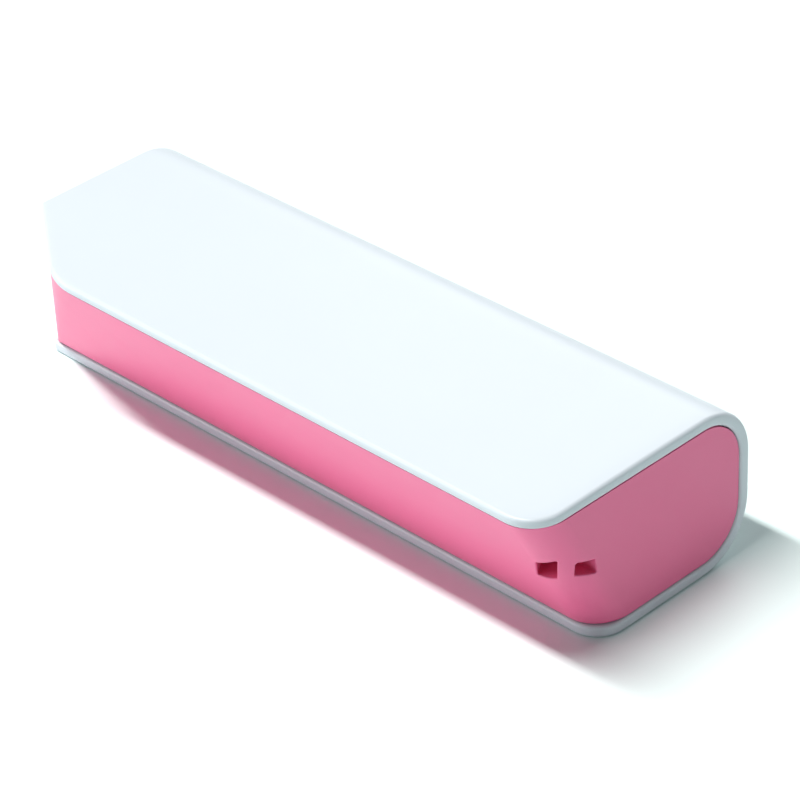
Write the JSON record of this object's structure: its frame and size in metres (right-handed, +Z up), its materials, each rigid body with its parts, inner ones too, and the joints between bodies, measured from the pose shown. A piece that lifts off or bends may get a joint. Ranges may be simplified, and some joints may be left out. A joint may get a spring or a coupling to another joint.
{
  "type": "power bank",
  "caption": "Pocket battery pack: C-shaped outer sleeve round a slanted core with lanyard slots, sockets and a press button.",
  "frame": {"origin": "middle of the footprint, on the surface the case rests on", "axes": "+X towards the lanyard end, -X towards the sockets, -Y towards the open slanted front, +Z up"},
  "size_m": [0.0966, 0.0364, 0.022],
  "materials": {
    "sleeve_white": "satin gloss moulded ABS",
    "core_pink": "satin moulded ABS",
    "can_steel": "nickel-plated steel",
    "wrap_film": "PVC shrink film",
    "cap_steel": "nickel-plated steel",
    "seal_fibre": "insulating fibre",
    "tab_nickel": "pure nickel strip",
    "pad_foam": "closed-cell foam",
    "card_fibre": "insulating fibre card",
    "board_laminate": "glass-fibre laminate with solder mask",
    "shell_steel": "tinned steel",
    "tongue_plastic": "moulded nylon",
    "tongue_black": "moulded nylon",
    "contact_gold": "gold-flashed copper alloy",
    "ferrite": "sintered ferrite",
    "copper_wire": "enamelled copper wire",
    "chip_black": "moulded epoxy",
    "leg_tin": "tinned copper",
    "ceramic_tan": "fired ceramic",
    "resistor_black": "glazed ceramic",
    "lamp_resin": "clear epoxy over a white base",
    "pipe_clear": "clear acrylic",
    "switch_black": "moulded nylon",
    "plunger_white": "moulded acetal",
    "button_white": "satin gloss moulded ABS",
    "screw_steel": "nickel-plated steel",
    "lead_red": "silicone insulation",
    "lead_black": "silicone insulation",
    "solder": "bright solder"
  },
  "bodies": {
    "housing": {"sleeve": "sleeve_white", "core_tray": "core_pink", "cell_can": "can_steel", "cell_wrap": "wrap_film", "cell_positive_cap": "cap_steel", "cell_seal_ring": "seal_fibre", "positive_tab": "tab_nickel", "negative_tab": "tab_nickel", "cell_pads": "pad_foam", "insulating_card": "card_fibre", "circuit_board": "board_laminate", "usb_a_shell": "shell_steel", "usb_a_tongue": "tongue_plastic", "usb_a_contacts": "contact_gold", "micro_usb_shell": "shell_steel", "micro_usb_tongue": "tongue_black", "micro_usb_contacts": "contact_gold", "inductor_drum": "ferrite", "inductor_winding": "copper_wire", "controller_chip": "chip_black", "controller_legs": "leg_tin", "protection_chips": "chip_black", "capacitors": "ceramic_tan", "resistors": "resistor_black", "status_light": "lamp_resin", "light_pipe": "pipe_clear", "switch_case": "switch_black", "board_screws": "screw_steel", "red_lead": "lead_red", "black_lead": "lead_black", "solder_joints": "solder"},
    "button": {"button_cap": "button_white", "switch_plunger": "plunger_white"}
  },
  "joints": [
    {"name": "button_press", "type": "slide", "parent": "housing", "child": "button", "axis": [1, 0, 0], "range_m": [0, 0.0003], "stiffness_N_per_m": 1500}
  ]
}
